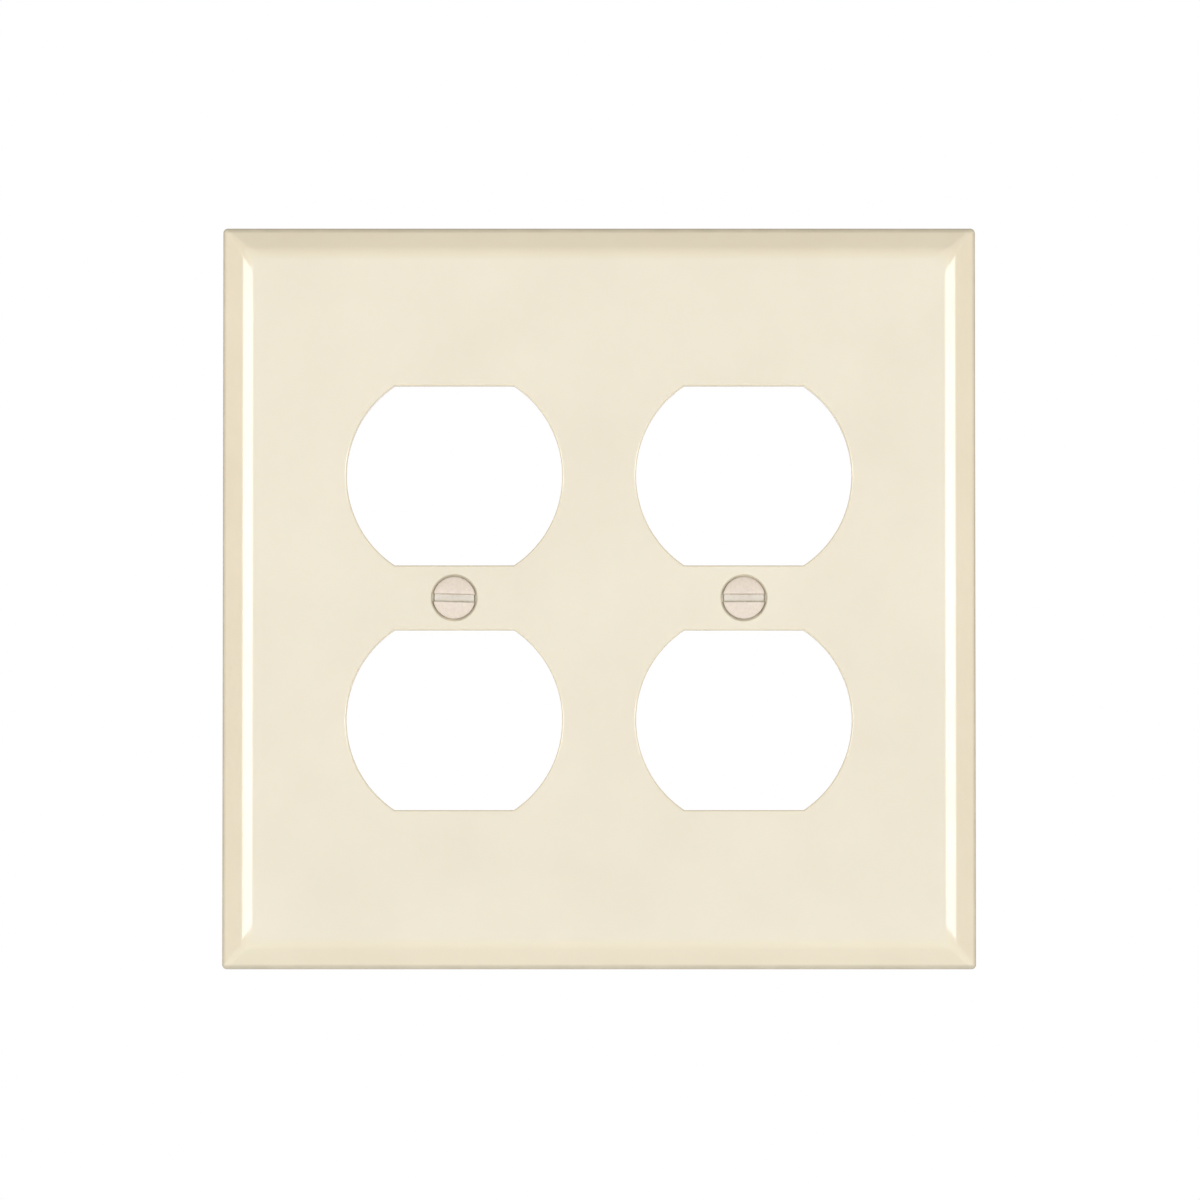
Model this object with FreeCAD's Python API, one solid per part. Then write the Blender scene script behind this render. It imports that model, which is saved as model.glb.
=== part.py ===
import FreeCAD, Part
import math
import os
from FreeCAD import Vector

# Two-gang duplex receptacle wall plate with its two captive mounting screws.
# The front faces -Y, +Z is up, and the wall is the plane Y = 0.
# The origin lies on the wall, midway between the two screws.
# All lengths are in millimetres and all angles in degrees.

# ---- outline of the plate ----
PLATE_WIDTH = 119.86
PLATE_HEIGHT = 118.0
PLATE_DEPTH = 6.35
OUTLINE_RADIUS = 0.75
RIM_EDGE_RADIUS = 0.5

# ---- front border: a flat bevel that rolls over into the face ----
# Its corners grow rounder on the way in, from the outline to the bevel's end to the face.
BEVEL_WIDTH = 3.0
BEVEL_SLOPE = 30.0
BEVEL_CORNER_RADIUS = 1.3
SHOULDER_RADIUS = 4.6
FACE_CORNER_RADIUS = 3.0

# ---- hollow back ----
FACE_THICKNESS = 2.1
SIDE_THICKNESS = 2.2
POCKET_RADIUS = 1.5
POCKET_BEVEL_WIDTH = 2.0

# ---- receptacle openings, each a circle with a flat above and below ----
GANG_SPACING = 46.04
OPENING_SPACING = 38.89
OPENING_RADIUS = 17.15
OPENING_FLATS = 28.58
OPENING_EDGE_RADIUS = 0.3
COLLAR_WIDTH = 1.3
COLLAR_HEIGHT = 1.1

# ---- bosses and countersunk holes for the screws ----
HOLE_RADIUS = 2.0
COUNTERSINK_RADIUS = 3.75
COUNTERSINK_ANGLE = 82.0
BOSS_RADIUS = 4.8
BOSS_HEIGHT = 1.2

# ---- stiffening ribs on the back, and the ejector pads that stand on them ----
RIB_THICKNESS = 1.2
RIB_HEIGHT = 1.1
EJECTOR_PAD_RADIUS = 2.4
EJECTOR_PADS = ((0.0, -48.0), (0.0, 0.0), (0.0, 48.0), (-49.0, 0.0), (49.0, 0.0))

# ---- number 6-32 oval head screws, half an inch long ----
HEAD_RADIUS = 3.5
DOME_HEIGHT = 0.85
SLOT_WIDTH = 1.2
SLOT_DEPTH = 1.25
SCREW_LENGTH = 12.7
NECK_RADIUS = 1.2
THREAD_START = -0.8
THREAD_RADIUS = 1.72
THREAD_ROOT_RADIUS = 1.27
THREAD_PITCH = 25.4 / 32
THREAD_CREST = THREAD_PITCH / 8
THREAD_HALF_ANGLE = 30.0
THREAD_CHAMFER = 0.4

# ---- push-on retaining washers ----
WASHER_RADIUS = 3.3
WASHER_BORE_RADIUS = 1.26
WASHER_THICKNESS = 0.7
WASHER_BACK = -0.9
RELIEF_WIDTH = 0.5
RELIEF_REACH = 2.1
RELIEF_TURNS = (45.0, -45.0)

# ---- the two gangs: where each screw sits and how far its slot has turned ----
GANGS = {
    "left": {"x": -GANG_SPACING / 2, "slot_turn": 1.5},
    "right": {"x": GANG_SPACING / 2, "slot_turn": 0.0},
}

# ---- planes along the depth, plain angles, and a length that only has to be ample ----
FRONT = -PLATE_DEPTH
INSIDE = FRONT + FACE_THICKNESS
WALL = 0.0
TO_WALL = Vector(0, 1, 0)
FULL_TURN = 360.0
RIGHT_ANGLE = 90.0
SPARE = 1.0
ARC_STEPS = 6


# ---------------------------------------------------------------- plain shapes


def block(width, depth, height, x, y, z):
    """A box centred on x and z that stands on y and reaches towards the wall."""
    corner = Vector(x - width / 2, y, z - height / 2)
    return Part.makeBox(width, depth, height, corner)


def disc(radius, depth, x, y, z):
    """A cylinder that stands on y and reaches towards the wall."""
    return Part.makeCylinder(radius, depth, Vector(x, y, z), TO_WALL)


def ring(inset, y, radius):
    """The plate's outline moved inwards, with round corners, as a wire at depth y."""
    x = PLATE_WIDTH / 2 - inset
    z = PLATE_HEIGHT / 2 - inset
    cut = radius * (1 - math.sqrt(0.5))
    corners = [
        ((x - radius, z), (x - cut, z - cut), (x, z - radius)),
        ((x, radius - z), (x - cut, cut - z), (x - radius, -z)),
        ((radius - x, -z), (cut - x, cut - z), (-x, radius - z)),
        ((-x, z - radius), (cut - x, z - cut), (radius - x, z)),
    ]
    edges = []
    for index, corner in enumerate(corners):
        start, middle, end = [Vector(across, y, up) for across, up in corner]
        across, up = corners[(index + 1) % len(corners)][0]
        edges.append(Part.Arc(start, middle, end).toShape())
        edges.append(Part.makeLine(end, Vector(across, y, up)))
    return Part.Wire(edges)


def loft(sections, straight):
    """A solid through rings given as inset, depth and corner radius."""
    return Part.makeLoft([ring(*section) for section in sections], True, straight)


# ---------------------------------------------------------------- wall plate


def arc_sections(centre_inset, centre_depth, radius, steep, shallow, corners):
    """Rings along an arc of the border, from the steep slope to the shallow one."""
    sections = []
    for step in range(ARC_STEPS + 1):
        share = step / ARC_STEPS
        slope = math.radians(steep + (shallow - steep) * share)
        inset = centre_inset - radius * math.sin(slope)
        depth = centre_depth - radius * math.cos(slope)
        corner = corners[0] + (corners[1] - corners[0]) * share
        sections.append((inset, depth, corner))
    return sections


def plate_blank():
    """The solid outer form of the plate: upright sides, soft edge, bevel and shoulder."""
    slope = math.radians(BEVEL_SLOPE)
    face_inset = BEVEL_WIDTH + SHOULDER_RADIUS * math.sin(slope)
    shoulder = arc_sections(
        face_inset,
        FRONT + SHOULDER_RADIUS,
        SHOULDER_RADIUS,
        BEVEL_SLOPE,
        0,
        (BEVEL_CORNER_RADIUS, FACE_CORNER_RADIUS),
    )
    bevel_end_depth = shoulder[0][1]
    outline_depth = bevel_end_depth + BEVEL_WIDTH * math.tan(slope)
    edge_centre = outline_depth + RIM_EDGE_RADIUS * math.tan(math.radians(RIGHT_ANGLE - BEVEL_SLOPE) / 2)
    rim_edge = arc_sections(
        RIM_EDGE_RADIUS,
        edge_centre,
        RIM_EDGE_RADIUS,
        RIGHT_ANGLE,
        BEVEL_SLOPE,
        (OUTLINE_RADIUS, OUTLINE_RADIUS),
    )
    sides = [(0, WALL, OUTLINE_RADIUS), rim_edge[0]]
    bevel = [rim_edge[-1], shoulder[0]]
    blank = loft(sides, True)
    blank = blank.fuse([loft(rim_edge, False), loft(bevel, True), loft(shoulder, False)])
    return blank.removeSplitter()


def back_pocket():
    """The hollow behind the face, with a sloping edge that follows the border."""
    rise = POCKET_BEVEL_WIDTH * math.tan(math.radians(BEVEL_SLOPE))
    roof_inset = SIDE_THICKNESS + POCKET_BEVEL_WIDTH
    sections = [
        (SIDE_THICKNESS, WALL + SPARE, POCKET_RADIUS),
        (SIDE_THICKNESS, INSIDE + rise, POCKET_RADIUS),
        (roof_inset, INSIDE, POCKET_RADIUS),
    ]
    return loft(sections, True)


def opening(x, z, radius, half_flats, y, depth):
    """A disc whose top and bottom are cut flat."""
    round_part = disc(radius, depth, x, y, z)
    band = block(2 * radius + SPARE, depth, 2 * half_flats, x, y, z)
    return round_part.common(band)


def opening_centres():
    """The centres of the four receptacle openings."""
    rows = (-OPENING_SPACING / 2, OPENING_SPACING / 2)
    return [(gang["x"], z) for gang in GANGS.values() for z in rows]


def back_features():
    """Everything that stands up from the inside of the face."""
    features = []
    for x, z in opening_centres():
        radius = OPENING_RADIUS + COLLAR_WIDTH
        half_flats = OPENING_FLATS / 2 + COLLAR_WIDTH
        features.append(opening(x, z, radius, half_flats, INSIDE, COLLAR_HEIGHT))
    for gang in GANGS.values():
        features.append(disc(BOSS_RADIUS, BOSS_HEIGHT, gang["x"], INSIDE, 0))
    inner_width = PLATE_WIDTH - SIDE_THICKNESS
    inner_height = PLATE_HEIGHT - SIDE_THICKNESS
    features.append(block(RIB_THICKNESS, RIB_HEIGHT, inner_height, 0, INSIDE, 0))
    features.append(block(inner_width, RIB_HEIGHT, RIB_THICKNESS, 0, INSIDE, 0))
    for x, z in EJECTOR_PADS:
        features.append(disc(EJECTOR_PAD_RADIUS, RIB_HEIGHT, x, INSIDE, z))
    return features


def is_opening_edge(edge):
    """True for the front edges of the receptacle openings."""
    box = edge.BoundBox
    if box.YMax > FRONT + SPARE / 2:
        return False
    inside_x = max(abs(box.XMin), abs(box.XMax)) < GANG_SPACING / 2 + OPENING_RADIUS + SPARE
    inside_z = max(abs(box.ZMin), abs(box.ZMax)) < OPENING_SPACING / 2 + OPENING_RADIUS
    return inside_x and inside_z


def wall_plate():
    """The moulded plate."""
    plate = plate_blank().cut(back_pocket()).fuse(back_features()).removeSplitter()
    through = PLATE_DEPTH + 2 * SPARE
    cuts = []
    for x, z in opening_centres():
        cuts.append(opening(x, z, OPENING_RADIUS, OPENING_FLATS / 2, FRONT - SPARE, through))
    plate = plate.cut(cuts)
    plate = plate.makeFillet(
        OPENING_EDGE_RADIUS, [e for e in plate.Edges if is_opening_edge(e)]
    )
    holes = [screw_hole(gang["x"]) for gang in GANGS.values()]
    return plate.cut(holes).Solids[0]


def screw_hole(x):
    """A clearance hole with its countersink."""
    taper = math.tan(math.radians(COUNTERSINK_ANGLE / 2))
    mouth_radius = COUNTERSINK_RADIUS + SPARE * taper
    depth = (mouth_radius - HOLE_RADIUS) / taper
    mouth = Vector(x, FRONT - SPARE, 0)
    sink = Part.makeCone(mouth_radius, HOLE_RADIUS, depth, mouth, TO_WALL)
    return sink.fuse(disc(HOLE_RADIUS, PLATE_DEPTH + 2 * SPARE, x, FRONT - SPARE, 0))


# ---------------------------------------------------------------- screws


def thread_profile(start, end):
    """One side of the thread as (radius, depth) points, each groove a flat-bottomed V."""
    flank = (THREAD_RADIUS - THREAD_ROOT_RADIUS) * math.tan(math.radians(THREAD_HALF_ANGLE))
    points = [(THREAD_RADIUS, start)]
    for turn in range(round((end - start) / THREAD_PITCH)):
        groove_start = start + turn * THREAD_PITCH + THREAD_CREST / 2
        groove_end = groove_start + THREAD_PITCH - THREAD_CREST
        points += [
            (THREAD_RADIUS, groove_start),
            (THREAD_ROOT_RADIUS, groove_start + flank),
            (THREAD_ROOT_RADIUS, groove_end - flank),
            (THREAD_RADIUS, groove_end),
        ]
    points.append((THREAD_RADIUS, end))
    return points


def screw_blank():
    """The turned form of a screw on the Y axis: domed head, cone, neck and thread."""
    taper = math.tan(math.radians(COUNTERSINK_ANGLE / 2))
    neck_top = FRONT + (HEAD_RADIUS - NECK_RADIUS) / taper
    crown = FRONT - DOME_HEIGHT
    tip = FRONT + SCREW_LENGTH
    dome_radius = (HEAD_RADIUS**2 + DOME_HEIGHT**2) / (2 * DOME_HEIGHT)
    half_turn = math.asin(HEAD_RADIUS / dome_radius) / 2
    halfway = (
        dome_radius * math.sin(half_turn),
        crown + dome_radius * (1 - math.cos(half_turn)),
    )
    outline = [(HEAD_RADIUS, FRONT), (NECK_RADIUS, neck_top), (NECK_RADIUS, THREAD_START)]
    outline.append((THREAD_RADIUS - THREAD_CHAMFER, THREAD_START))
    outline += thread_profile(THREAD_START + THREAD_CHAMFER, tip - THREAD_CHAMFER)
    outline += [(THREAD_RADIUS - THREAD_CHAMFER, tip), (0, tip), (0, crown)]
    corners = [Vector(radius, depth, 0) for radius, depth in outline]
    dome = Part.Arc(corners[-1], Vector(*halfway, 0), corners[0]).toShape()
    wire = Part.Wire([dome] + Part.makePolygon(corners).Edges)
    return Part.Face(wire).revolve(Vector(0, 0, 0), TO_WALL, FULL_TURN)


def screw(x, slot_turn):
    """A slotted oval head screw with a reduced neck that keeps it captive."""
    slot = block(2 * HEAD_RADIUS + SPARE, SLOT_DEPTH + SPARE, SLOT_WIDTH, 0, 0, 0)
    slot.translate(Vector(0, FRONT - DOME_HEIGHT - SPARE, 0))
    slot.rotate(Vector(0, 0, 0), TO_WALL, slot_turn)
    shape = screw_blank().cut(slot)
    shape.translate(Vector(x, 0, 0))
    return shape.Solids[0]


# ---------------------------------------------------------------- retainers


def screw_retainer(x):
    """A thin washer with relief slots that let its bore spring over the thread."""
    front = WASHER_BACK - WASHER_THICKNESS
    cut_depth = WASHER_THICKNESS + 2 * SPARE
    cuts = [disc(WASHER_BORE_RADIUS, cut_depth, 0, front - SPARE, 0)]
    for turn in RELIEF_TURNS:
        slot = block(2 * RELIEF_REACH, cut_depth, RELIEF_WIDTH, 0, front - SPARE, 0)
        slot.rotate(Vector(0, 0, 0), TO_WALL, turn)
        cuts.append(slot)
    washer = disc(WASHER_RADIUS, WASHER_THICKNESS, 0, front, 0).cut(cuts)
    washer.translate(Vector(x, 0, 0))
    return washer.Solids[0]


# ---------------------------------------------------------------- assembly


def assembly():
    """Every piece of the product by name, placed where it sits in use."""
    pieces = {"wall_plate": wall_plate()}
    for side, gang in GANGS.items():
        pieces[side + "_screw"] = screw(gang["x"], gang["slot_turn"])
        pieces[side + "_screw_retainer"] = screw_retainer(gang["x"])
    return pieces


os.makedirs("parts", exist_ok=True)
for name, piece in assembly().items():
    piece.exportStep("parts/" + name + ".step")
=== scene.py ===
"""Studio picture of a two-gang duplex wall plate, its two screws and their retaining washers.

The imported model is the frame. Each piece here is a finer mesh of one CAD node, the same shape
and size, and it rides on that node's body. Lengths are in metres and the front faces -Y.
"""

import math

import bmesh
import bpy
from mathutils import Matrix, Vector

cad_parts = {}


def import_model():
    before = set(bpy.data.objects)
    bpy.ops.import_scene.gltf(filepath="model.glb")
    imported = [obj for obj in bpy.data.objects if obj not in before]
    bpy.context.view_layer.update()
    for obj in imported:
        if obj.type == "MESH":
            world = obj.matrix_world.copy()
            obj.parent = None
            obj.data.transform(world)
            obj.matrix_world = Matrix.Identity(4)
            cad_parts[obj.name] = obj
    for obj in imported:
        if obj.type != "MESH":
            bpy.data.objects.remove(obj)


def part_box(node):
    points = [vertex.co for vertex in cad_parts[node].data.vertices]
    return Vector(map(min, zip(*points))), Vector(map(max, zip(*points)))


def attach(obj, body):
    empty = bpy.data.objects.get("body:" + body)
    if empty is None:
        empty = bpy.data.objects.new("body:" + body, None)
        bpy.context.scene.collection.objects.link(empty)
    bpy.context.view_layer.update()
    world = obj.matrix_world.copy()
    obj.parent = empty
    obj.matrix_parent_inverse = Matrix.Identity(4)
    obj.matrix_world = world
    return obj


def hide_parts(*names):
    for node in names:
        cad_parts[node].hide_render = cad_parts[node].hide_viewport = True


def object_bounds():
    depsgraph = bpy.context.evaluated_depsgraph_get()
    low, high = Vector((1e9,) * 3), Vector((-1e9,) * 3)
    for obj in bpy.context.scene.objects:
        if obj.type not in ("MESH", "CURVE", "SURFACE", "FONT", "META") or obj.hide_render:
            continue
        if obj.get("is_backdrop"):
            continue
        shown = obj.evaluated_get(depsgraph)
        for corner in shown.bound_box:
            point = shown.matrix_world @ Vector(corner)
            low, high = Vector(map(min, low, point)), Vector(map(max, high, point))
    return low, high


MM = 0.001
QUARTER = math.pi / 2
SIDES = {"left": -1, "right": 1}

# ---- border of the plate: a flat bevel that rolls over into the face ----
OUTLINE_RADIUS = 0.75 * MM
RIM_EDGE_RADIUS = 0.5 * MM
BEVEL_WIDTH = 3.0 * MM
BEVEL_SLOPE = math.radians(30)
BEVEL_CORNER_RADIUS = 1.3 * MM
SHOULDER_RADIUS = 4.6 * MM
FACE_CORNER_RADIUS = 3.0 * MM

# ---- hollow back ----
FACE_THICKNESS = 2.1 * MM
SIDE_THICKNESS = 2.2 * MM
POCKET_RADIUS = 1.5 * MM
POCKET_BEVEL_WIDTH = 2.0 * MM
COLLAR_WIDTH = 1.3 * MM
COLLAR_HEIGHT = 1.1 * MM
BOSS_RADIUS = 4.8 * MM
BOSS_HEIGHT = 1.2 * MM
RIB_THICKNESS = 1.2 * MM
RIB_HEIGHT = 1.1 * MM
PAD_RADIUS = 2.4 * MM
PAD_OFFSET_X = 49.0 * MM
PAD_OFFSET_Z = 48.0 * MM
BACK_EDGE = 0.15 * MM
# How far the collars, ribs, bosses and pads start inside the face.
ROOT_DEPTH = 0.2 * MM

# ---- openings and screw holes ----
OPENING_SPACING = 38.89 * MM
OPENING_RADIUS = 17.15 * MM
OPENING_HALF_FLATS = 14.29 * MM
OPENING_EDGE_RADIUS = 0.3 * MM
HOLE_RADIUS = 2.0 * MM
COUNTERSINK_RADIUS = 3.75 * MM
COUNTERSINK_HALF_ANGLE = math.radians(41)
COUNTERSINK_EDGE = 0.06 * MM

# ---- screws ----
HEAD_RADIUS = 3.5 * MM
DOME_HEIGHT = 0.85 * MM
DOME_RADIUS = (HEAD_RADIUS**2 + DOME_HEIGHT**2) / (2 * DOME_HEIGHT)
CROWN_FLAT = 0.05 * MM
BRIM_RADIUS = 0.25 * MM
SLOT_HALF_WIDTH = 0.6 * MM
SLOT_DEPTH = 1.25 * MM
SLOT_LIP = 0.16 * MM
SLOT_FLOOR_EDGE = 0.15 * MM
# Points of the slot's lip, (outwards, down) in shares of SLOT_LIP, below a mouth LIP_SPREAD out.
LIP_SPREAD = 1.5
LIP_SHAPE = ((1, 1 / 8), (1 / 3, 1 / 3), (0, 1))
# Points of the edge of the slot's floor, (inwards, up) in shares of SLOT_FLOOR_EDGE.
FLOOR_SHAPE = ((0, 1), (1 / 3, 1 / 3), (1, 0))
SLOT_TURN = {"left": math.radians(1.5), "right": 0.0}
NECK_RADIUS = 1.2 * MM
THREAD_START = -0.8 * MM
THREAD_RADIUS = 1.72 * MM
THREAD_ROOT_RADIUS = 1.27 * MM
THREAD_PITCH = 25.4 / 32 * MM
THREAD_HALF_CREST = THREAD_PITCH / 16
THREAD_HALF_ANGLE = math.radians(30)
THREAD_CHAMFER = 0.4 * MM

# ---- retaining washers ----
WASHER_EDGE = 0.08 * MM
WASHER_BORE_RADIUS = 1.26 * MM
RELIEF_WIDTH = 0.5 * MM
RELIEF_REACH = 2.1 * MM
RELIEF_TURNS = (math.radians(45), math.radians(-45))

# ---- how fine the meshes are ----
ARC_STEPS = 8
EDGE_STEPS = 4
CORNER_STEPS = 12
CIRCLE_STEPS = 96
DOME_STEPS = 16
SHARP_ANGLE = math.radians(32)
# Points closer than this are one point.
MERGE = 0.0008 * MM
# How far a cutting solid stands out of what it cuts.
SPARE = 1.0 * MM
# Turns of thread beyond each end of the screw. They are clipped to its ends.
EXTRA_TURNS = 2

# ---- camera: almost straight on, far enough away to flatten the perspective ----
CAMERA_DISTANCE = 1.3
SENSOR_WIDTH_MM = 36.0
# The picture's width over the plate's.
FRAME_TO_PLATE = 1.590
CAMERA_ELEVATION = math.radians(-2)
AIM_OFFSET = Vector((0.00014, 0, -0.00038))

# ---- studio ----
STRIP_ANGLE = math.radians(36.5)
STRIP_DISTANCE = 1.0
STRIP_WIDTH = 0.71
STRIP_HEIGHT = 0.25
STRIP_RISE = 0.033
STRIP_POWER = 4.3
STRIP_TINT = (0.98, 1.0, 1.0)
ROOM_PEAK = 1.23
# Colours of the room, from straight before the plate (0) to straight behind it (1).
ROOM_STOPS = (
    (0.0, (0.20, 0.46, 0.92)),
    (0.01, (0.20, 0.46, 0.92)),
    (0.05, (0.51, 0.45, 0.33)),
    (0.28, (0.51, 0.45, 0.33)),
    (0.33, (0.39, 0.19, 0.11)),
    (0.70, (0.38, 0.25, 0.17)),
    (0.80, (0.30, 0.29, 0.28)),
    (0.90, (0.80, 0.80, 0.80)),
)
# How bright the room is, from the level of the plate and below (0) to straight above it (1).
OVERHEAD_STOPS = (
    (0.0, 1.0),
    (0.5, 0.82),
    (0.8, 0.56),
    (0.87, 0.45),
    (0.93, 0.16),
    (1.0, 0.08),
)
REAR_DISTANCE = 1.0
REAR_HEIGHT = 0.3
REAR_SIZE = 0.5
REAR_POWER = 4.0
FLOOR_DROP = 0.32
FLOOR_SIZE = 1.6

# ---- textures: features a metre, and levels of detail ----
MOTTLE = (55, 4)
GLOSS = (140, 3)
RIPPLE = (90, 1)
GRAIN = (1400, 2)
BACK_MOTTLE = (70, 4)
BACK_GLOSS = (600, 3)
ERODED = (4000, 3)
GAP_SHADE_WANDER = (900, 2)
GAP_SHADE_PATCHES = (420, 3)
RIM_SHADE_PATCHES = (260, 3)
PAINT_WANDER = (2500, 3)
PAINT_MOTTLE = (900, 3)
PAINT_GLOSS = (1800, 3)
PAINT_LUMPS = (1100, 2)
PAINT_GRAIN = (3200, 2)
LIP_SHADE_WANDER = (1300, 2)
LIP_SHADE_PATCHES = (700, 3)
ZINC_MOTTLE = (1500, 4)
NYLON_CLOUD = (500, 4)
NYLON_GLOSS = (1200, 3)
NYLON_GRAIN = (3500, 2)
PAPER_MOTTLE = (30, 3)
PAPER_GRAIN = (2000, 2)
MIDDLE_OF_NOISE = (0.3, 0.7)

# ---- roughness of each surface, low to high, and depth of its bumps ----
PLASTIC_IOR = 1.6
PLASTIC_ROUGHNESS = (0.15, 0.21)
RIPPLE_DEPTH = 6e-6
GRAIN_DEPTH = 5e-7
PLASTIC_GLOW = 0.06
PLASTIC_GLOW_RADIUS = (0.0012, 0.0009, 0.0006)
BACK_ROUGHNESS = (0.38, 0.52)
ERODED_DEPTH = 2.5e-5
PAINT_ROUGHNESS = (0.22, 0.36)
PAINT_LUMP_DEPTH = 2.5e-6
PAINT_GRAIN_DEPTH = 1.2e-6
NYLON_ROUGHNESS = (0.4, 0.55)
NYLON_GRAIN_DEPTH = 6e-6
NYLON_GLOW = 0.35
NYLON_GLOW_RADIUS = (0.0015, 0.0013, 0.0010)
PAPER_ROUGHNESS = 0.8
PAPER_GRAIN_DEPTH = 2e-5

# ---- painted shade in the countersinks and along the rim: where each starts and ends ----
GAP_SHADE_EDGE = (COUNTERSINK_RADIUS - 0.02 * MM, COUNTERSINK_RADIUS + 0.12 * MM)
GAP_SHADE_WANDER_REACH = 0.1 * MM
GAP_SHADE_SHARE = (0.2, 0.55)
RIM_SHADE_INSET_X = (0.6 * MM, 0.15 * MM)
RIM_SHADE_INSET_Z = (0.85 * MM, 0.4 * MM)
RIM_SHADE_BEHIND_FRONT = (2.6 * MM, 4.0 * MM)
RIM_SHADE_PATCHINESS = (0.7, 1)
RIM_SHADE_SHARE = 0.55

# ---- screw: where its enamel ends, and the painted shade along one lip of its slot ----
PAINT_END = (0.95 * MM, 1.15 * MM)
PAINT_WANDER_REACH = 0.5 * MM
LIP_SHADE_PLACE = 0.52 * MM
LIP_SHADE_WANDER_REACH = 0.12 * MM
LIP_SHADE_WIDTH = (0.06 * MM, 0.26 * MM)
LIP_SHADE_DEPTH = (0.42 * MM, 0.5 * MM)
LIP_SHADE_PATCHINESS = (0.35, 1)
LIP_SHADE_SHARE = 0.8
SLOT_FLOOR_REACH = (0.5 * MM, 0.62 * MM)
SLOT_FLOOR_SHARE = 0.35

# ---- colours, linear ----
ALMOND_LOW = (0.755, 0.690, 0.540, 1.0)
ALMOND_HIGH = (0.785, 0.720, 0.570, 1.0)
# Painted shade for the rim, standing in for its edge reflecting the dark room.
RIM_SHADE_COLOUR = (0.36, 0.33, 0.25, 1.0)
# Painted shadow for the gap between each screw head and its countersink.
GAP_SHADE_COLOUR = (0.34, 0.30, 0.22, 1.0)
ENAMEL_LOW = (0.707, 0.622, 0.540, 1.0)
ENAMEL_HIGH = (0.744, 0.664, 0.584, 1.0)
SLOT_FLOOR = (0.62, 0.60, 0.50, 1.0)
# Painted shade for one lip of each screw's slot.
LIP_SHADE_COLOUR = (0.30, 0.29, 0.22, 1.0)
ZINC_LOW = (0.50, 0.50, 0.47, 1.0)
ZINC_HIGH = (0.68, 0.69, 0.68, 1.0)
NYLON_LOW = (0.74, 0.72, 0.64, 1.0)
NYLON_HIGH = (0.83, 0.82, 0.76, 1.0)
FLOOR_LOW = (0.80, 0.80, 0.79, 1.0)
FLOOR_HIGH = (0.84, 0.84, 0.83, 1.0)


# ---------------------------------------------------------------- outlines


def circle(radius, y, x=0.0, z=0.0):
    """Points round a circle about the Y direction."""
    points = []
    for step in range(CIRCLE_STEPS):
        angle = 2 * math.pi * step / CIRCLE_STEPS
        points.append(Vector((x + radius * math.sin(angle), y, z + radius * math.cos(angle))))
    return points


def rectangle(half_x, half_z, y):
    """The four corners of a rectangle."""
    return [Vector((x, y, z)) for x, z in
            ((half_x, half_z), (-half_x, half_z), (-half_x, -half_z), (half_x, -half_z))]


def border(half_x, half_z, inset, y, radius):
    """The outline of the plate moved inwards, with round corners."""
    x, z = half_x - inset - radius, half_z - inset - radius
    points = []
    for quarter, (side_x, side_z) in enumerate(((1, 1), (-1, 1), (-1, -1), (1, -1))):
        for step in range(CORNER_STEPS + 1):
            angle = QUARTER * (quarter + step / CORNER_STEPS)
            across = side_x * x + radius * math.cos(angle)
            up = side_z * z + radius * math.sin(angle)
            points.append(Vector((across, y, up)))
    return points


def duplex(spread, y, x, z):
    """The circle with two flats of a receptacle opening, moved outwards by the spread."""
    radius = OPENING_RADIUS + spread
    end = math.asin((OPENING_HALF_FLATS + spread) / radius)
    steps = CIRCLE_STEPS // 2
    points = []
    for start in (0, math.pi):
        for step in range(steps + 1):
            angle = start - end + 2 * end * step / steps
            points.append(Vector((x + radius * math.cos(angle), y, z + radius * math.sin(angle))))
    return points


# ---------------------------------------------------------------- solids


def link(mesh, name):
    """A new object in the scene for a mesh."""
    piece = bpy.data.objects.new(name, mesh)
    bpy.context.scene.collection.objects.link(piece)
    return piece


def add_tube(build, rings, capped, climb=0):
    """Faces between rings of points. The seam steps up by the rows that a thread climbs."""
    rows = [[build.verts.new(point) for point in ring] for ring in rings]
    count = len(rows[0])
    for row in range(len(rows) - 1 - climb):
        for index in range(count):
            after = (index + 1) % count
            seam = climb if after == 0 else 0
            lower_after, upper_after = rows[row + seam], rows[row + 1 + seam]
            corners = (
                rows[row][index], lower_after[after], upper_after[after], rows[row + 1][index]
            )
            build.faces.new(corners)
    for wanted, row in zip(capped, (rows[0], rows[-1])):
        if wanted:
            build.faces.new(row)


def closed_mesh(build, name):
    """A mesh from a finished bmesh, its faces turned outwards."""
    bmesh.ops.recalc_face_normals(build, faces=build.faces)
    mesh = bpy.data.meshes.new(name)
    build.to_mesh(mesh)
    build.free()
    return mesh


def loft(name, rings):
    """A closed solid through rings of points that all have the same number of points."""
    build = bmesh.new()
    add_tube(build, rings, (True, True))
    return link(closed_mesh(build, name), name)


def raised(name, outline, root, top, edge):
    """A solid that stands up from root to top, its top edge rounded. outline(spread, y)."""
    rings = [outline(0, root)]
    for step in range(EDGE_STEPS + 1):
        angle = QUARTER * step / EDGE_STEPS
        rings.append(outline(edge * (math.cos(angle) - 1), top - edge * (1 - math.sin(angle))))
    return loft(name, rings)


def flare(outline, y, edge, steps, outwards):
    """Rings of a hole that opens out over a rounded edge into the plane y."""
    rings = []
    for step in range(steps + 1):
        angle = QUARTER * step / steps
        depth = y - outwards * edge * (1 - math.cos(angle))
        rings.append(outline(edge * (1 - math.sin(angle)), depth))
    rings.insert(0, outline(edge, y + outwards * SPARE))
    return rings


def bored(name, outline, front, back, front_edge, back_edge):
    """The solid that a hole takes away between two planes, both its edges rounded."""
    rings = flare(outline, front, front_edge, ARC_STEPS, -1)
    rings += reversed(flare(outline, back, back_edge, EDGE_STEPS, 1))
    return loft(name, rings)


def turned(name, profile, x=0.0, z=0.0):
    """A turned solid about the Y direction, from (radius, y) pairs."""
    return loft(name, [circle(radius, y, x, z) for radius, y in profile])


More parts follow.
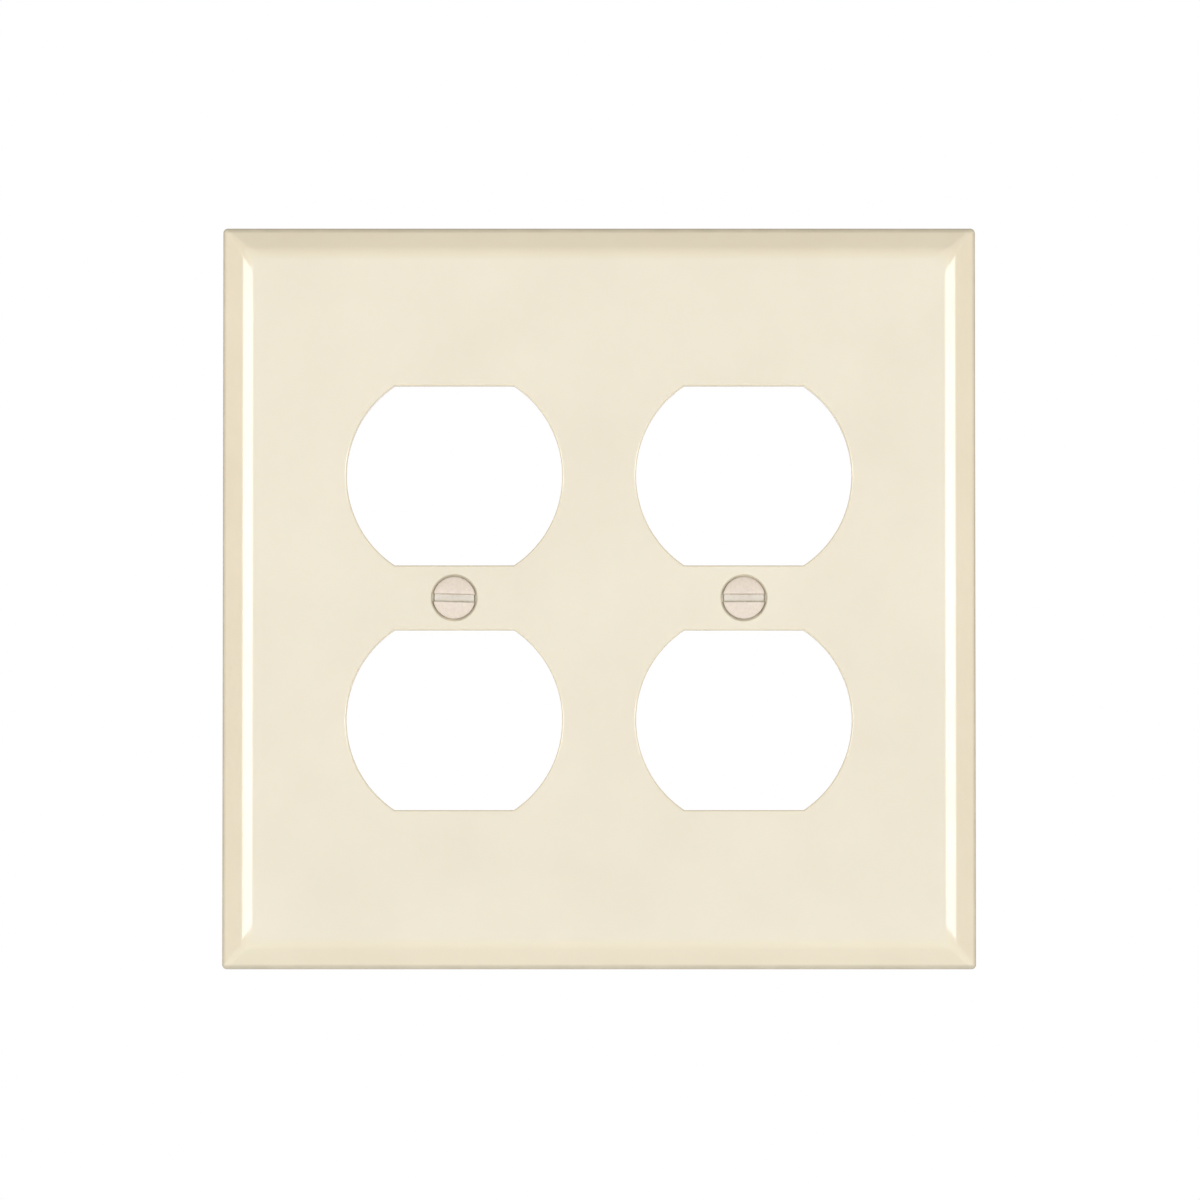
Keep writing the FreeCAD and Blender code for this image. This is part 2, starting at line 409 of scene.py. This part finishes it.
def combine(piece, other, operation):
    """Joins another solid to a piece or cuts it away. The other solid is used up."""
    step = piece.modifiers.new("solid", "BOOLEAN")
    step.object = other
    step.operation = operation
    step.solver = "EXACT"
    graph = bpy.context.evaluated_depsgraph_get()
    result = bpy.data.meshes.new_from_object(piece.evaluated_get(graph))
    piece.modifiers.clear()
    piece.data = result
    bpy.data.objects.remove(other)


def smooth(piece):
    """Cleans a mesh and shades it smooth between its sharp edges."""
    build = bmesh.new()
    build.from_mesh(piece.data)
    bmesh.ops.remove_doubles(build, verts=build.verts, dist=MERGE)
    bmesh.ops.dissolve_degenerate(build, edges=build.edges, dist=MERGE)
    bmesh.ops.recalc_face_normals(build, faces=build.faces)
    build.to_mesh(piece.data)
    build.free()
    piece.data.shade_smooth()
    piece.data.set_sharp_from_angle(angle=SHARP_ANGLE)
    normals = piece.modifiers.new("even_normals", "WEIGHTED_NORMAL")
    normals.keep_sharp = True


def give_materials(piece, materials):
    """Gives a piece its materials, in place of any that it has."""
    piece.data.materials.clear()
    for material in materials:
        piece.data.materials.append(material)


def arc(centre, radius, start, end, steps):
    """(across, y) points along an arc, from angle start to angle end."""
    points = []
    for step in range(steps + 1):
        angle = start + (end - start) * step / steps
        points.append((centre[0] + radius * math.cos(angle), centre[1] + radius * math.sin(angle)))
    return points


# ---------------------------------------------------------------- wall plate


def border_arc(centre_inset, centre_y, radius, steep, corners):
    """(inset, y, corner radius) along an arc from the steep slope to the next one."""
    sections = []
    for step in range(ARC_STEPS + 1):
        share = step / ARC_STEPS
        slope = steep[0] + (steep[1] - steep[0]) * share
        inset = centre_inset - radius * math.sin(slope)
        y = centre_y - radius * math.cos(slope)
        sections.append((inset, y, corners[0] + (corners[1] - corners[0]) * share))
    return sections


def plate_blank(half_x, half_z, front):
    """The outer form: upright sides, soft edge, flat bevel and rounded shoulder."""
    shoulder = border_arc(
        BEVEL_WIDTH + SHOULDER_RADIUS * math.sin(BEVEL_SLOPE),
        front + SHOULDER_RADIUS,
        SHOULDER_RADIUS,
        (BEVEL_SLOPE, 0),
        (BEVEL_CORNER_RADIUS, FACE_CORNER_RADIUS),
    )
    outline_y = shoulder[0][1] + BEVEL_WIDTH * math.tan(BEVEL_SLOPE)
    edge = border_arc(
        RIM_EDGE_RADIUS,
        outline_y + RIM_EDGE_RADIUS * math.tan((QUARTER - BEVEL_SLOPE) / 2),
        RIM_EDGE_RADIUS,
        (QUARTER, BEVEL_SLOPE),
        (OUTLINE_RADIUS, OUTLINE_RADIUS),
    )
    wall_edge = []
    for across, y in arc((BACK_EDGE, -BACK_EDGE), BACK_EDGE, QUARTER, 2 * QUARTER, EDGE_STEPS):
        wall_edge.append((across, y, OUTLINE_RADIUS - across))
    sections = wall_edge + edge + shoulder
    return loft("plate", [border(half_x, half_z, *section) for section in sections])


def back_pocket(half_x, half_z, inside):
    """The hollow behind the face, its mouth and its sloping edge."""
    mouth = [(SIDE_THICKNESS - BACK_EDGE, SPARE, POCKET_RADIUS + BACK_EDGE)]
    for across, y in arc((0, -BACK_EDGE), BACK_EDGE, QUARTER, 0, EDGE_STEPS):
        inset = SIDE_THICKNESS - BACK_EDGE + across
        mouth.append((inset, y, POCKET_RADIUS + BACK_EDGE - across))
    sections = mouth + [
        (SIDE_THICKNESS, inside + POCKET_BEVEL_WIDTH * math.tan(BEVEL_SLOPE), POCKET_RADIUS),
        (SIDE_THICKNESS + POCKET_BEVEL_WIDTH, inside, POCKET_RADIUS),
    ]
    return loft("pocket", [border(half_x, half_z, *section) for section in sections])


def back_features(half_x, half_z, inside, openings, screws):
    """Collars, ribs, ejector pads and screw bosses that stand up inside the hollow."""
    root = inside - ROOT_DEPTH
    features = []
    for x, z in openings:
        def collar(spread, y, x=x, z=z):
            return duplex(COLLAR_WIDTH + spread, y, x, z)
        features.append(raised("collar", collar, root, inside + COLLAR_HEIGHT, BACK_EDGE))
    for rib_x, rib_z in (
        (RIB_THICKNESS / 2, half_z - SIDE_THICKNESS / 2),
        (half_x - SIDE_THICKNESS / 2, RIB_THICKNESS / 2),
    ):
        def rib(spread, y, rib_x=rib_x, rib_z=rib_z):
            return rectangle(rib_x + spread, rib_z + spread, y)
        features.append(raised("rib", rib, root, inside + RIB_HEIGHT, BACK_EDGE))
    rounds = [(x, z, BOSS_RADIUS, BOSS_HEIGHT) for x, z in screws]
    rounds.append((0, 0, PAD_RADIUS, RIB_HEIGHT))
    for side in SIDES.values():
        rounds.append((side * PAD_OFFSET_X, 0, PAD_RADIUS, RIB_HEIGHT))
        rounds.append((0, side * PAD_OFFSET_Z, PAD_RADIUS, RIB_HEIGHT))
    for x, z, radius, height in rounds:
        def disc(spread, y, x=x, z=z, radius=radius):
            return circle(radius + spread, y, x, z)
        features.append(raised("round", disc, root, inside + height, BACK_EDGE))
    return features


def screw_hole(x, z, front, back):
    """What a countersunk clearance hole takes away, its mouth rounded."""
    tilt = COUNTERSINK_HALF_ANGLE
    edge = COUNTERSINK_EDGE
    centre = COUNTERSINK_RADIUS + edge * (1 - math.sin(tilt)) / math.cos(tilt)
    profile = [(centre, front - SPARE)]
    profile += arc((centre, front + edge), edge, -QUARTER, tilt - math.pi, EDGE_STEPS)
    profile += [
        (HOLE_RADIUS, front + (COUNTERSINK_RADIUS - HOLE_RADIUS) / math.tan(tilt)),
        (HOLE_RADIUS, back - BACK_EDGE),
        (HOLE_RADIUS + BACK_EDGE, back),
        (HOLE_RADIUS + BACK_EDGE, back + SPARE),
    ]
    return turned("hole", profile, x, z)


def give_back_finish(plate, half_x, half_z, inside):
    """Puts the faces of the hollow on the second material slot."""
    for face in plate.data.polygons:
        x, y, z = face.center
        inside_x = abs(x) < half_x - SIDE_THICKNESS + MERGE
        inside_z = abs(z) < half_z - SIDE_THICKNESS + MERGE
        if inside_x and inside_z and y > inside - MERGE:
            face.material_index = 1


def wall_plate(box, openings, screws, materials):
    """The moulded plate, from the box of its CAD node and the places of its openings."""
    half_x, half_z, front = box[1].x, box[1].z, box[0].y
    inside = front + FACE_THICKNESS
    plate = plate_blank(half_x, half_z, front)
    combine(plate, back_pocket(half_x, half_z, inside), "DIFFERENCE")
    for feature in back_features(half_x, half_z, inside, openings, screws):
        combine(plate, feature, "UNION")
    for x, z in openings:
        def outline(spread, y, x=x, z=z):
            return duplex(spread, y, x, z)
        back = inside + COLLAR_HEIGHT
        cut = bored("opening", outline, front, back, OPENING_EDGE_RADIUS, BACK_EDGE)
        combine(plate, cut, "DIFFERENCE")
    for x, z in screws:
        combine(plate, screw_hole(x, z, front, inside + BOSS_HEIGHT), "DIFFERENCE")
    smooth(plate)
    give_materials(plate, materials)
    give_back_finish(plate, half_x, half_z, inside)
    plate.name = "moulded_plate"
    return plate


# ---------------------------------------------------------------- screws


def head_rings(front):
    """Rings down the domed head, its rounded brim, its cone and the neck, on the Y axis."""
    crown = front - DOME_HEIGHT
    dome_centre = Vector((0, crown + DOME_RADIUS))
    tilt = COUNTERSINK_HALF_ANGLE
    outwards = Vector((math.cos(tilt), math.sin(tilt)))
    along = Vector((-math.sin(tilt), math.cos(tilt)))
    start = Vector((HEAD_RADIUS, front)) - BRIM_RADIUS * outwards
    offset = start - dome_centre
    inner = offset.length_squared - (DOME_RADIUS - BRIM_RADIUS) ** 2
    brim = start + along * (-offset.dot(along) - math.sqrt(offset.dot(along) ** 2 - inner))
    to_brim = brim - dome_centre
    reach = math.atan2(to_brim.x, -to_brim.y)
    profile = [(CROWN_FLAT, crown)]
    for step in range(1, DOME_STEPS):
        angle = reach * step / DOME_STEPS
        drop = DOME_RADIUS * (1 - math.cos(angle))
        profile.append((DOME_RADIUS * math.sin(angle), crown + drop))
    profile += arc(brim, BRIM_RADIUS, reach - QUARTER, tilt, EDGE_STEPS)
    profile += [
        (NECK_RADIUS, front + (HEAD_RADIUS - NECK_RADIUS) / math.tan(tilt)),
        (NECK_RADIUS, THREAD_START),
    ]
    return [circle(radius, y) for radius, y in profile]


def thread_point(step, y, tip):
    """Where the thread's surface is at one step round the screw and one depth."""
    turns = (y - THREAD_START) / THREAD_PITCH - step / CIRCLE_STEPS
    off_crest = abs(turns - round(turns)) * THREAD_PITCH
    radius = THREAD_RADIUS - max(0, off_crest - THREAD_HALF_CREST) / math.tan(THREAD_HALF_ANGLE)
    radius = max(radius, THREAD_ROOT_RADIUS)
    chamfered = THREAD_RADIUS - THREAD_CHAMFER + min(y - THREAD_START, tip - y)
    radius = min(radius, chamfered)
    angle = 2 * math.pi * step / CIRCLE_STEPS
    return Vector((radius * math.sin(angle), y, radius * math.cos(angle)))


def thread_rows(tip):
    """Rows of points that climb the screw with its thread: six to a turn, clipped to its ends."""
    crest = THREAD_HALF_CREST
    flank = (THREAD_RADIUS - THREAD_ROOT_RADIUS) * math.tan(THREAD_HALF_ANGLE)
    reach = (crest + flank, crest + flank / 2, crest)
    offsets = [-y for y in reach] + list(reversed(reach))
    turns = math.ceil((tip - THREAD_START) / THREAD_PITCH)
    rows = []
    for turn in range(-EXTRA_TURNS, turns + EXTRA_TURNS):
        for offset in offsets:
            row = []
            for step in range(CIRCLE_STEPS):
                y = THREAD_START + THREAD_PITCH * (turn + step / CIRCLE_STEPS) + offset
                row.append(thread_point(step, min(max(y, THREAD_START), tip), tip))
            rows.append(row)
    return rows, len(offsets)


def screw_blank(front, tip):
    """The whole screw before its slot is cut: head, neck and a helical thread."""
    start = [thread_point(step, THREAD_START, tip) for step in range(CIRCLE_STEPS)]
    rows, climb = thread_rows(tip)
    build = bmesh.new()
    add_tube(build, head_rings(front) + [start], (True, False))
    add_tube(build, rows, (False, False), climb)
    build.faces.new([build.verts.new(thread_point(step, tip, tip)) for step in range(CIRCLE_STEPS)])
    bmesh.ops.remove_doubles(build, verts=build.verts, dist=MERGE)
    return link(closed_mesh(build, "screw"), "screw")


def slot_cutter(front):
    """What the driver slot takes away, with eased lips that follow the dome."""
    crown = front - DOME_HEIGHT
    floor = crown + SLOT_DEPTH
    rings = []
    for step in range(CIRCLE_STEPS + 1):
        x = (2 * step / CIRCLE_STEPS - 1) * (HEAD_RADIUS + BRIM_RADIUS)
        rim = math.sqrt(DOME_RADIUS**2 - x**2 - SLOT_HALF_WIDTH**2)
        lip = crown + DOME_RADIUS - rim
        half = [(SLOT_HALF_WIDTH + LIP_SPREAD * SLOT_LIP, lip - SPARE)]
        for out, down in LIP_SHAPE:
            half.append((SLOT_HALF_WIDTH + out * SLOT_LIP, lip + down * SLOT_LIP))
        for inwards, up in FLOOR_SHAPE:
            across = SLOT_HALF_WIDTH - inwards * SLOT_FLOOR_EDGE
            half.append((across, floor - up * SLOT_FLOOR_EDGE))
        section = half + [(-z, y) for z, y in reversed(half)]
        rings.append([Vector((x, y, z)) for z, y in section])
    return loft("slot", rings)


def screw(side, box, front, material):
    """A slotted oval head machine screw, where its CAD node is."""
    piece = screw_blank(front, box[1].y)
    combine(piece, slot_cutter(front), "DIFFERENCE")
    smooth(piece)
    # The finish reads how far each point is from the middle of the slot.
    across_slot = piece.data.attributes.new("across_slot", "FLOAT", "POINT")
    across_slot.data.foreach_set("value", [vertex.co.z for vertex in piece.data.vertices])
    turn = SLOT_TURN[side]
    x = (box[0].x + box[1].x) / 2
    for vertex in piece.data.vertices:
        across, up = vertex.co.x, vertex.co.z
        vertex.co.x = x + across * math.cos(turn) + up * math.sin(turn)
        vertex.co.z = up * math.cos(turn) - across * math.sin(turn)
    give_materials(piece, (material,))
    piece.name = side + "_threaded_screw"
    return piece


# ---------------------------------------------------------------- washers


def retaining_washer(side, box, material):
    """A thin washer with four relief slots round its bore."""
    x = (box[0].x + box[1].x) / 2
    radius = (box[1].x - box[0].x) / 2
    front, back = box[0].y, box[1].y
    rim = arc((radius - WASHER_EDGE, front + WASHER_EDGE), WASHER_EDGE, -QUARTER, 0, EDGE_STEPS)
    rim += arc((radius - WASHER_EDGE, back - WASHER_EDGE), WASHER_EDGE, 0, QUARTER, EDGE_STEPS)
    piece = turned("washer", rim, x)

    def bore(spread, y):
        return circle(WASHER_BORE_RADIUS + spread, y, x)

    for turn in RELIEF_TURNS:
        rings = []
        for y in (front - SPARE, back + SPARE):
            ring = []
            for across, _, up in rectangle(RELIEF_REACH, RELIEF_WIDTH / 2, y):
                turned_x = across * math.cos(turn) - up * math.sin(turn)
                turned_z = across * math.sin(turn) + up * math.cos(turn)
                ring.append(Vector((x + turned_x, y, turned_z)))
            rings.append(ring)
        combine(piece, loft("relief", rings), "DIFFERENCE")
    combine(piece, bored("bore", bore, front, back, WASHER_EDGE, WASHER_EDGE), "DIFFERENCE")
    smooth(piece)
    give_materials(piece, (material,))
    piece.name = side + "_retaining_washer"
    return piece


# ---------------------------------------------------------------- materials


class Finish:
    """A material under construction: its principled shader, and helpers for its nodes."""

    def __init__(self, name):
        self.material = bpy.data.materials.new(name)
        self.material.use_nodes = True
        self.tree = self.material.node_tree
        self.shader = self.tree.nodes["Principled BSDF"]
        place = self.tree.nodes.new("ShaderNodeTexCoord")
        self.place = place.outputs["Object"]
        self.heights = None

    def set(self, **values):
        """Sets plain values on the shader's own sockets."""
        for name, value in values.items():
            self.shader.inputs[name.replace("_", " ")].default_value = value

    def feed(self, socket, value):
        """Links a node's result to the shader."""
        self.tree.links.new(value, self.shader.inputs[socket])

    def split(self):
        """The X, Y and Z of each point of the object."""
        node = self.tree.nodes.new("ShaderNodeSeparateXYZ")
        self.tree.links.new(self.place, node.inputs[0])
        return node.outputs["X"], node.outputs["Y"], node.outputs["Z"]

    def noise(self, scale, detail):
        """Noise of so many features a metre."""
        texture = self.tree.nodes.new("ShaderNodeTexNoise")
        texture.inputs["Scale"].default_value = scale
        texture.inputs["Detail"].default_value = detail
        self.tree.links.new(self.place, texture.inputs["Vector"])
        return texture.outputs["Fac"]

    def span(self, value, low, high, start, end):
        """A value between start and end, mapped to low to high."""
        node = self.tree.nodes.new("ShaderNodeMapRange")
        node.inputs["From Min"].default_value = start
        node.inputs["From Max"].default_value = end
        node.inputs["To Min"].default_value = low
        node.inputs["To Max"].default_value = high
        self.tree.links.new(value, node.inputs["Value"])
        return node.outputs[0]

    def rise(self, value, start, end):
        """Goes from 0 at the start to 1 at the end."""
        return self.span(value, 0, 1, start, end)

    def fall(self, value, start, end):
        """Goes from 1 at the start to 0 at the end."""
        return self.span(value, 1, 0, start, end)

    def patches(self, texture, low=0, high=1):
        """Noise that wanders from low to high."""
        return self.span(self.noise(*texture), low, high, *MIDDLE_OF_NOISE)

    def blend(self, share, low, high):
        """Two colours, or the results of other blends, mixed by a share."""
        node = self.tree.nodes.new("ShaderNodeMix")
        node.data_type = "RGBA"
        for socket, colour in (("A", low), ("B", high)):
            target = [s for s in node.inputs if s.name == socket and s.type == "RGBA"][0]
            if isinstance(colour, tuple):
                target.default_value = colour
            else:
                self.tree.links.new(colour, target)
        self.tree.links.new(share, node.inputs[0])
        return [s for s in node.outputs if s.type == "RGBA"][0]

    def maths(self, operation, *values):
        """The result of a Math node on links or plain numbers."""
        node = self.tree.nodes.new("ShaderNodeMath")
        node.operation = operation
        for socket, value in zip(node.inputs, values):
            if isinstance(value, float):
                socket.default_value = value
            else:
                self.tree.links.new(value, socket)
        return node.outputs[0]

    def plus(self, first, second):
        """Two values added."""
        return self.maths("ADD", first, second)

    def times(self, first, second):
        """Two values multiplied."""
        return self.maths("MULTIPLY", first, second)

    def size(self, value):
        """A value without its sign."""
        return self.maths("ABSOLUTE", value)

    def bump(self, texture, depth):
        """Adds a layer of surface height, so many metres deep."""
        node = self.tree.nodes.new("ShaderNodeBump")
        node.inputs["Distance"].default_value = depth
        self.tree.links.new(self.noise(*texture), node.inputs["Height"])
        if self.heights is not None:
            self.tree.links.new(self.heights, node.inputs["Normal"])
        self.heights = node.outputs[0]
        self.tree.links.new(self.heights, self.shader.inputs["Normal"])


def countersink_painted_shade(finish, screw_x):
    """How much painted shadow darkens each point round the screws, 0 to 1, standing in for the
    shade in the gap between head and countersink.
    """
    across, _, up = finish.split()
    off_screw = finish.plus(finish.size(across), -screw_x)
    squares = finish.plus(finish.times(off_screw, off_screw), finish.times(up, up))
    wander = finish.times(finish.noise(*GAP_SHADE_WANDER), GAP_SHADE_WANDER_REACH)
    radius = finish.plus(finish.maths("SQRT", squares), wander)
    return finish.times(finish.fall(radius, *GAP_SHADE_EDGE), finish.patches(GAP_SHADE_PATCHES, *GAP_SHADE_SHARE))


def painted_rim_shade(finish, box):
    """How strong the painted shade is at each point near the front edge of the outline, 0 to 1. It
    stands in for the rim's edge reflecting the dark room.
    """
    across, depth, up = finish.split()
    near_x = finish.rise(finish.size(across), *[box[1].x - inset for inset in RIM_SHADE_INSET_X])
    near_z = finish.rise(finish.size(up), *[box[1].z - inset for inset in RIM_SHADE_INSET_Z])
    ahead = finish.fall(depth, *[box[0].y + behind for behind in RIM_SHADE_BEHIND_FRONT])
    rim_shading = finish.times(finish.maths("MAXIMUM", near_x, near_z), ahead)
    rim_shading = finish.times(rim_shading, finish.patches(RIM_SHADE_PATCHES, *RIM_SHADE_PATCHINESS))
    return finish.times(rim_shading, RIM_SHADE_SHARE)


def front_plastic(box, screw_x):
    """Polished almond thermoset, with painted shade in the countersinks round the screw heads and
    along the rim.
    """
    finish = Finish("almond_plastic")
    colour = finish.blend(finish.patches(MOTTLE), ALMOND_LOW, ALMOND_HIGH)
    # Painted shade along the front edge of the rim.
    colour = finish.blend(painted_rim_shade(finish, box), colour, RIM_SHADE_COLOUR)
    # Painted shadow in the countersinks round the screw heads.
    colour = finish.blend(countersink_painted_shade(finish, screw_x), colour, GAP_SHADE_COLOUR)
    finish.feed("Base Color", colour)
    finish.feed("Roughness", finish.patches(GLOSS, *PLASTIC_ROUGHNESS))
    finish.bump(RIPPLE, RIPPLE_DEPTH)
    finish.bump(GRAIN, GRAIN_DEPTH)
    finish.set(
        IOR=PLASTIC_IOR,
        Subsurface_Weight=PLASTIC_GLOW,
        Subsurface_Radius=PLASTIC_GLOW_RADIUS,
        Subsurface_Scale=1.0,
    )
    return finish.material


def back_plastic():
    """The same plastic as the mould leaves it inside, with a fine spark-eroded grain."""
    finish = Finish("almond_plastic_back")
    finish.feed("Base Color", finish.blend(finish.patches(BACK_MOTTLE), ALMOND_LOW, ALMOND_HIGH))
    finish.feed("Roughness", finish.patches(BACK_GLOSS, *BACK_ROUGHNESS))
    finish.bump(ERODED, ERODED_DEPTH)
    return finish.material


def enamel_colour(finish, front):
    """Almond enamel, greyer on the slot's floor, with painted shade along one lip of the slot."""
    _, depth, _ = finish.split()
    node = finish.tree.nodes.new("ShaderNodeAttribute")
    node.attribute_name = "across_slot"
    across = node.outputs["Fac"]
    # Painted shade along one lip of the slot, where the wall facing up lies in shade.
    wander = finish.times(finish.noise(*LIP_SHADE_WANDER), LIP_SHADE_WANDER_REACH)
    off_lip = finish.size(finish.plus(finish.plus(across, wander), LIP_SHADE_PLACE))
    in_head = finish.fall(depth, *[front + end for end in LIP_SHADE_DEPTH])
    lip = finish.times(finish.fall(off_lip, *LIP_SHADE_WIDTH), in_head)
    lip = finish.times(lip, finish.patches(LIP_SHADE_PATCHES, *LIP_SHADE_PATCHINESS))
    floor = finish.fall(finish.size(across), *SLOT_FLOOR_REACH)
    colour = finish.blend(finish.patches(PAINT_MOTTLE), ENAMEL_LOW, ENAMEL_HIGH)
    colour = finish.blend(finish.times(floor, SLOT_FLOOR_SHARE), colour, SLOT_FLOOR)
    return finish.blend(finish.times(lip, LIP_SHADE_SHARE), colour, LIP_SHADE_COLOUR)


def screw_finish(front):
    """Zinc plate, with enamel over the head."""
    finish = Finish("screw_enamel")
    _, depth, _ = finish.split()
    wander = finish.times(finish.noise(*PAINT_WANDER), PAINT_WANDER_REACH)
    bare = finish.rise(finish.plus(wander, depth), *[front + end for end in PAINT_END])
    zinc = finish.blend(finish.patches(ZINC_MOTTLE), ZINC_LOW, ZINC_HIGH)
    finish.feed("Base Color", finish.blend(bare, enamel_colour(finish, front), zinc))
    finish.feed("Metallic", bare)
    finish.feed("Roughness", finish.patches(PAINT_GLOSS, *PAINT_ROUGHNESS))
    finish.bump(PAINT_LUMPS, PAINT_LUMP_DEPTH)
    finish.bump(PAINT_GRAIN, PAINT_GRAIN_DEPTH)
    return finish.material


def nylon():
    """Natural nylon sheet: milky, matte and slightly cloudy."""
    finish = Finish("nylon")
    finish.feed("Base Color", finish.blend(finish.patches(NYLON_CLOUD), NYLON_LOW, NYLON_HIGH))
    finish.feed("Roughness", finish.patches(NYLON_GLOSS, *NYLON_ROUGHNESS))
    finish.bump(NYLON_GRAIN, NYLON_GRAIN_DEPTH)
    finish.set(
        Subsurface_Weight=NYLON_GLOW,
        Subsurface_Radius=NYLON_GLOW_RADIUS,
        Subsurface_Scale=1.0,
    )
    return finish.material


def paper():
    """Pale matte sweep paper for the floor."""
    finish = Finish("paper")
    finish.feed("Base Color", finish.blend(finish.patches(PAPER_MOTTLE), FLOOR_LOW, FLOOR_HIGH))
    finish.set(Roughness=PAPER_ROUGHNESS)
    finish.bump(PAPER_GRAIN, PAPER_GRAIN_DEPTH)
    return finish.material


# ---------------------------------------------------------------- studio


def add_camera(box):
    """A camera in front of the plate, a little below its middle."""
    width = box[1].x - box[0].x
    data = bpy.data.cameras.new("camera")
    data.sensor_width = SENSOR_WIDTH_MM
    data.lens = SENSOR_WIDTH_MM * CAMERA_DISTANCE / (width * FRAME_TO_PLATE)
    camera = bpy.data.objects.new("camera", data)
    away, up = math.cos(CAMERA_ELEVATION), math.sin(CAMERA_ELEVATION)
    target = AIM_OFFSET + Vector((0, box[0].y, 0))
    camera.location = target + CAMERA_DISTANCE * Vector((0, -away, up))
    camera.rotation_euler = (QUARTER - CAMERA_ELEVATION, 0, 0)
    bpy.context.scene.collection.objects.link(camera)
    bpy.context.scene.camera = camera


def add_strip(name, side):
    """A broad soft light beside the camera, turned towards the plate."""
    data = bpy.data.lights.new(name, "AREA")
    data.shape = "RECTANGLE"
    data.size = STRIP_WIDTH
    data.size_y = STRIP_HEIGHT
    data.energy = STRIP_POWER
    data.color = STRIP_TINT
    light = bpy.data.objects.new(name, data)
    across, away = math.sin(STRIP_ANGLE), math.cos(STRIP_ANGLE)
    light.location = (side * STRIP_DISTANCE * across, -STRIP_DISTANCE * away, STRIP_RISE)
    light.rotation_euler = (QUARTER, 0, side * STRIP_ANGLE)
    light.visible_camera = False
    bpy.context.scene.collection.objects.link(light)


def add_rear_light():
    """A soft light behind and above the plate, which only its back sees."""
    data = bpy.data.lights.new("rear_light", "AREA")
    data.size = REAR_SIZE
    data.energy = REAR_POWER
    light = bpy.data.objects.new("rear_light", data)
    light.visible_glossy = False
    light.location = (0, REAR_DISTANCE, REAR_HEIGHT)
    light.rotation_euler = (-QUARTER + math.atan2(REAR_HEIGHT, REAR_DISTANCE), 0, 0)
    light.visible_camera = False
    bpy.context.scene.collection.objects.link(light)


def give_stops(ramp, places):
    """Gives a colour ramp its (position, colour) stops."""
    stops = ramp.color_ramp.elements
    while len(stops) < len(places):
        stops.new(1.0)
    for stop, (position, colour) in zip(stops, places):
        stop.position = position
        stop.color = (*colour, 1)


def room_light(tree):
    """The room's light: its colour goes from front to back, and it fades from level to overhead."""
    direction = tree.nodes.new("ShaderNodeTexCoord")
    split = tree.nodes.new("ShaderNodeSeparateXYZ")
    tree.links.new(direction.outputs["Generated"], split.inputs[0])
    back = tree.nodes.new("ShaderNodeMapRange")
    back.inputs["From Min"].default_value = -1.0
    tree.links.new(split.outputs["Y"], back.inputs["Value"])
    colour = tree.nodes.new("ShaderNodeValToRGB")
    give_stops(colour, ROOM_STOPS)
    tree.links.new(back.outputs[0], colour.inputs["Fac"])
    overhead = tree.nodes.new("ShaderNodeValToRGB")
    give_stops(overhead, [(height, (share, share, share)) for height, share in OVERHEAD_STOPS])
    tree.links.new(split.outputs["Z"], overhead.inputs["Fac"])
    strength = tree.nodes.new("ShaderNodeMath")
    strength.operation = "MULTIPLY"
    strength.inputs[1].default_value = ROOM_PEAK
    tree.links.new(overhead.outputs["Color"], strength.inputs[0])
    light = tree.nodes["Background"]
    tree.links.new(strength.outputs[0], light.inputs["Strength"])
    tree.links.new(colour.outputs["Color"], light.inputs["Color"])
    return light.outputs[0]


def add_room():
    """A room that looks plain white, but lights the plate unevenly as studio walls do."""
    world = bpy.data.worlds.new("room")
    world.use_nodes = True
    tree = world.node_tree
    white = tree.nodes.new("ShaderNodeBackground")
    white.inputs["Color"].default_value = (1, 1, 1, 1)
    path = tree.nodes.new("ShaderNodeLightPath")
    mix = tree.nodes.new("ShaderNodeMixShader")
    tree.links.new(path.outputs["Is Camera Ray"], mix.inputs["Fac"])
    tree.links.new(room_light(tree), mix.inputs[1])
    tree.links.new(white.outputs[0], mix.inputs[2])
    tree.links.new(mix.outputs[0], tree.nodes["World Output"].inputs["Surface"])
    bpy.context.scene.world = world


def add_floor(z):
    """A plain pale floor well below the plate."""
    half = FLOOR_SIZE / 2
    corners = [(-half, -half, z), (half, -half, z), (half, half, z), (-half, half, z)]
    mesh = bpy.data.meshes.new("floor")
    mesh.from_pydata(corners, [], [(0, 1, 2, 3)])
    mesh.materials.append(paper())
    link(mesh, "floor")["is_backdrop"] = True


def write_sizes(cad_box):
    """Gathers the CAD model's box and the visual model's box as plain lists; nothing is written."""
    sizes = {"cad": cad_box, "visual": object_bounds()}
    plain = {name: [list(corner) for corner in box] for name, box in sizes.items()}


# ---------------------------------------------------------------- assembly


def assemble():
    """Builds every piece on its body, and the studio round them."""
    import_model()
    cad_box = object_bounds()
    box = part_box("wall_plate")
    screw_boxes = [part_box(side + "_screw") for side in SIDES]
    screw_x = [(low.x + high.x) / 2 for low, high in screw_boxes]
    screws = [(x, 0) for x in screw_x]
    openings = [(x, row * OPENING_SPACING / 2) for x in screw_x for row in SIDES.values()]
    plate = wall_plate(box, openings, screws, (front_plastic(box, screw_x[1]), back_plastic()))
    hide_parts("wall_plate")
    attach(plate, "plate")
    enamelled_steel = screw_finish(box[0].y)
    white_nylon = nylon()
    for side in SIDES:
        piece = screw(side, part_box(side + "_screw"), box[0].y, enamelled_steel)
        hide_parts(side + "_screw")
        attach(piece, side + "_screw")
        piece = retaining_washer(side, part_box(side + "_screw_retainer"), white_nylon)
        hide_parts(side + "_screw_retainer")
        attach(piece, side + "_retainer")
    add_camera(cad_box)
    add_room()
    for side, sign in SIDES.items():
        add_strip(side + "_strip", sign)
    add_rear_light()
    add_floor(cad_box[0].z - FLOOR_DROP)
    bpy.context.scene.view_settings.view_transform = "Standard"
    write_sizes(cad_box)


assemble()
